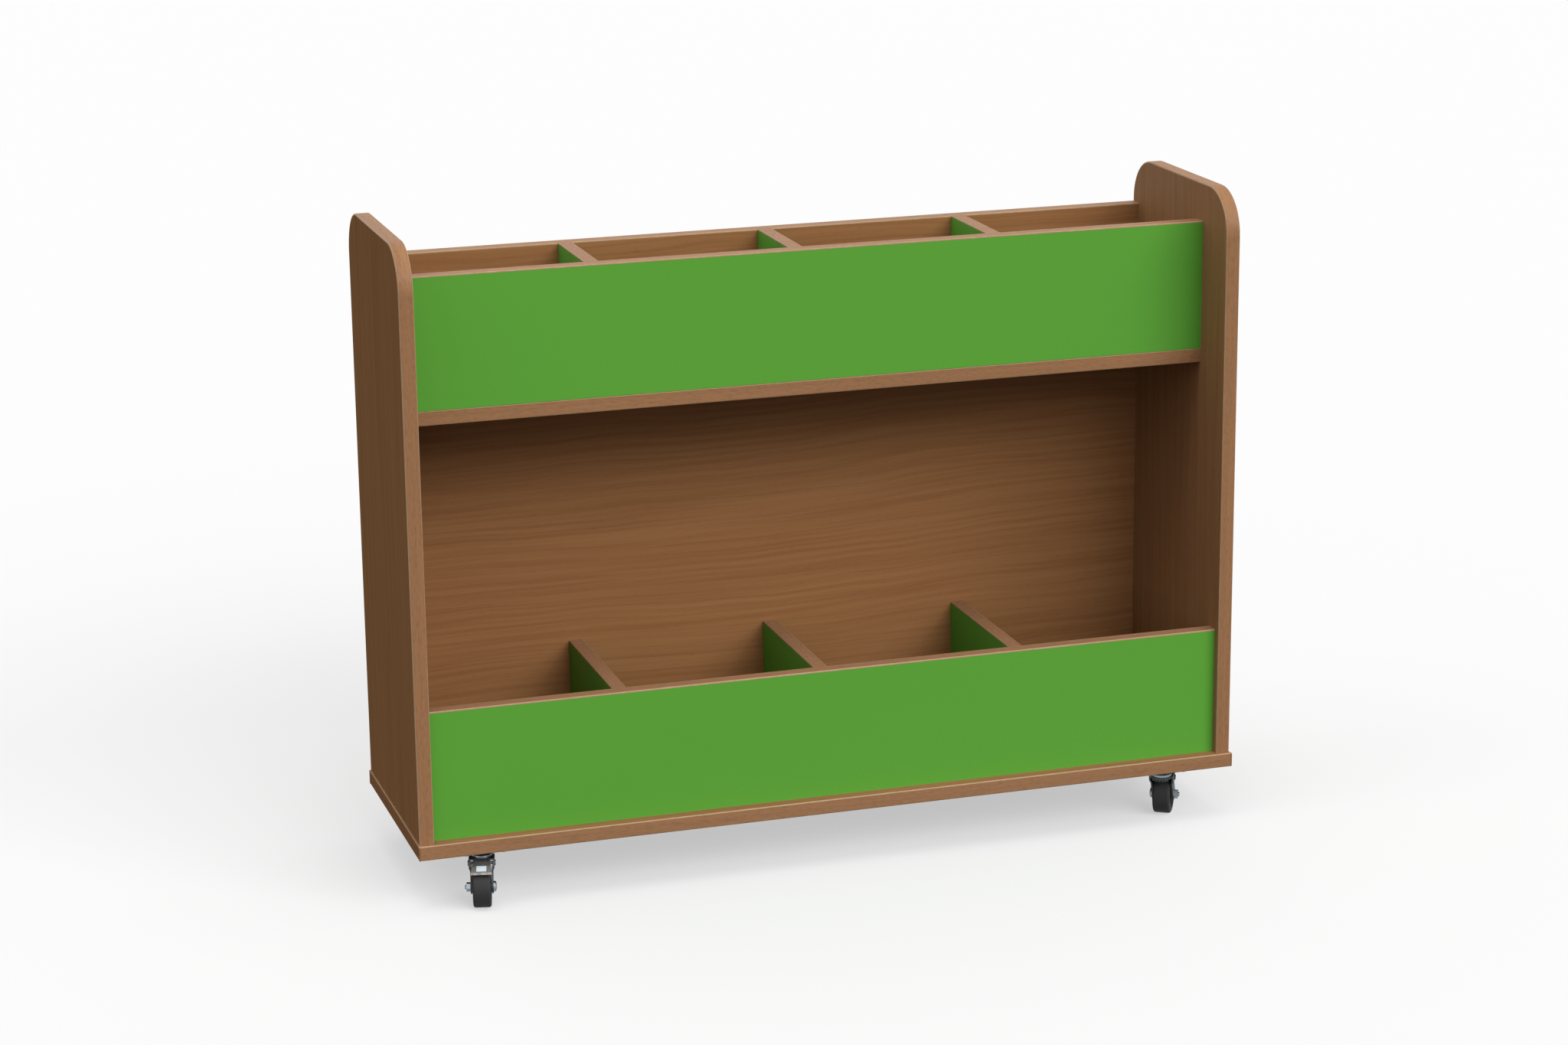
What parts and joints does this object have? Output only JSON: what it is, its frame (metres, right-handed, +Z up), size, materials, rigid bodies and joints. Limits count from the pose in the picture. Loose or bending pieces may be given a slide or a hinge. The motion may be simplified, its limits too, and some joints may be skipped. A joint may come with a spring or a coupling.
{
  "type": "mobile bookcase",
  "caption": "Mobile two-tier bookcase in beech and green boards with face-out bins, rounded sides and swivel castors",
  "frame": {"origin": "On the floor, under the middle of the base board's plan.", "axes": "+X along the length, to the right seen from the front; +Y towards the back panel, so the front faces -Y; +Z up."},
  "size_m": [1.054, 0.33, 0.81],
  "materials": {
    "beech": "beech-decor laminate on chipboard, satin",
    "beech_edge": "beech-decor plastic edging, satin",
    "green_board": "green laminate on chipboard, satin",
    "dowel_wood": "plain turned beech",
    "steel": "plain steel",
    "zinc": "bright zinc plate",
    "pedal_steel": "dull pressed steel",
    "hub_plastic": "dark grey moulded plastic",
    "tyre_rubber": "black rubber"
  },
  "bodies": {
    "carcass": {"base_board": "beech", "base_edging": "beech_edge", "left_side_panel": "beech", "left_side_edging": "beech_edge", "right_side_panel": "beech", "right_side_edging": "beech_edge", "back_panel": "beech", "back_panel_edging": "beech_edge", "upper_shelf": "beech", "upper_shelf_edging": "beech_edge", "upper_front_panel": "green_board", "upper_front_edging": "beech_edge", "lower_front_panel": "green_board", "lower_front_edging": "beech_edge", "upper_divider_1": "green_board", "upper_divider_2": "green_board", "upper_divider_3": "green_board", "upper_divider_edgings": "beech_edge", "lower_divider_1": "green_board", "lower_divider_2": "green_board", "lower_divider_3": "green_board", "lower_divider_edgings": "beech_edge", "panel_screws": "steel", "panel_dowels": "dowel_wood", "cam_housings": "steel", "cam_bolts": "zinc", "castor_screws": "zinc", "kingpins": "zinc", "swivel_balls": "steel", "plate_fl": "zinc", "plate_fr": "zinc", "plate_rl": "zinc", "plate_rr": "zinc"},
    "castor_fl": {"fork_fl": "zinc", "axle_bolt_fl": "zinc", "axle_nut_fl": "zinc", "pedal_pin_fl": "zinc"},
    "castor_fr": {"fork_fr": "zinc", "axle_bolt_fr": "zinc", "axle_nut_fr": "zinc", "pedal_pin_fr": "zinc"},
    "castor_rl": {"fork_rl": "zinc", "axle_bolt_rl": "zinc", "axle_nut_rl": "zinc"},
    "castor_rr": {"fork_rr": "zinc", "axle_bolt_rr": "zinc", "axle_nut_rr": "zinc"},
    "wheel_fl": {"wheel_hub_fl": "hub_plastic", "tyre_fl": "tyre_rubber"},
    "wheel_fr": {"wheel_hub_fr": "hub_plastic", "tyre_fr": "tyre_rubber"},
    "wheel_rl": {"wheel_hub_rl": "hub_plastic", "tyre_rl": "tyre_rubber"},
    "wheel_rr": {"wheel_hub_rr": "hub_plastic", "tyre_rr": "tyre_rubber"},
    "brake_fl": {"brake_pedal_fl": "pedal_steel"},
    "brake_fr": {"brake_pedal_fr": "pedal_steel"}
  },
  "joints": [
    {"name": "swivel_fl", "type": "hinge", "parent": "carcass", "child": "castor_fl", "pos_m": [-0.444, -0.117, 0.0575], "axis": [0, 0, 1], "continuous": true},
    {"name": "roll_fl", "type": "hinge", "parent": "castor_fl", "child": "wheel_fl", "pos_m": [-0.44942, -0.13873, 0.025], "axis": [0.9703, -0.2419, 0], "continuous": true},
    {"name": "brake_fl", "type": "hinge", "parent": "castor_fl", "child": "brake_fl", "pos_m": [-0.44678, -0.12816, 0.0515], "axis": [0.9703, -0.2419, 0], "range_deg": [0, 6.5]},
    {"name": "swivel_fr", "type": "hinge", "parent": "carcass", "child": "castor_fr", "pos_m": [0.444, -0.117, 0.0575], "axis": [0, 0, 1], "continuous": true},
    {"name": "roll_fr", "type": "hinge", "parent": "castor_fr", "child": "wheel_fr", "pos_m": [0.45587, -0.098, 0.025], "axis": [-0.848, 0.5299, 0], "continuous": true},
    {"name": "brake_fr", "type": "hinge", "parent": "castor_fr", "child": "brake_fr", "pos_m": [0.45009, -0.10725, 0.0515], "axis": [-0.848, 0.5299, 0], "range_deg": [0, 6.5]},
    {"name": "swivel_rl", "type": "hinge", "parent": "carcass", "child": "castor_rl", "pos_m": [-0.444, 0.117, 0.0575], "axis": [0, 0, 1], "continuous": true},
    {"name": "roll_rl", "type": "hinge", "parent": "castor_rl", "child": "wheel_rl", "pos_m": [-0.46505, 0.12466, 0.025], "axis": [-0.342, -0.9397, 0], "continuous": true},
    {"name": "swivel_rr", "type": "hinge", "parent": "carcass", "child": "castor_rr", "pos_m": [0.444, 0.117, 0.0575], "axis": [0, 0, 1], "continuous": true},
    {"name": "roll_rr", "type": "hinge", "parent": "castor_rr", "child": "wheel_rr", "pos_m": [0.44942, 0.13873, 0.025], "axis": [-0.9703, 0.2419, 0], "continuous": true}
  ]
}
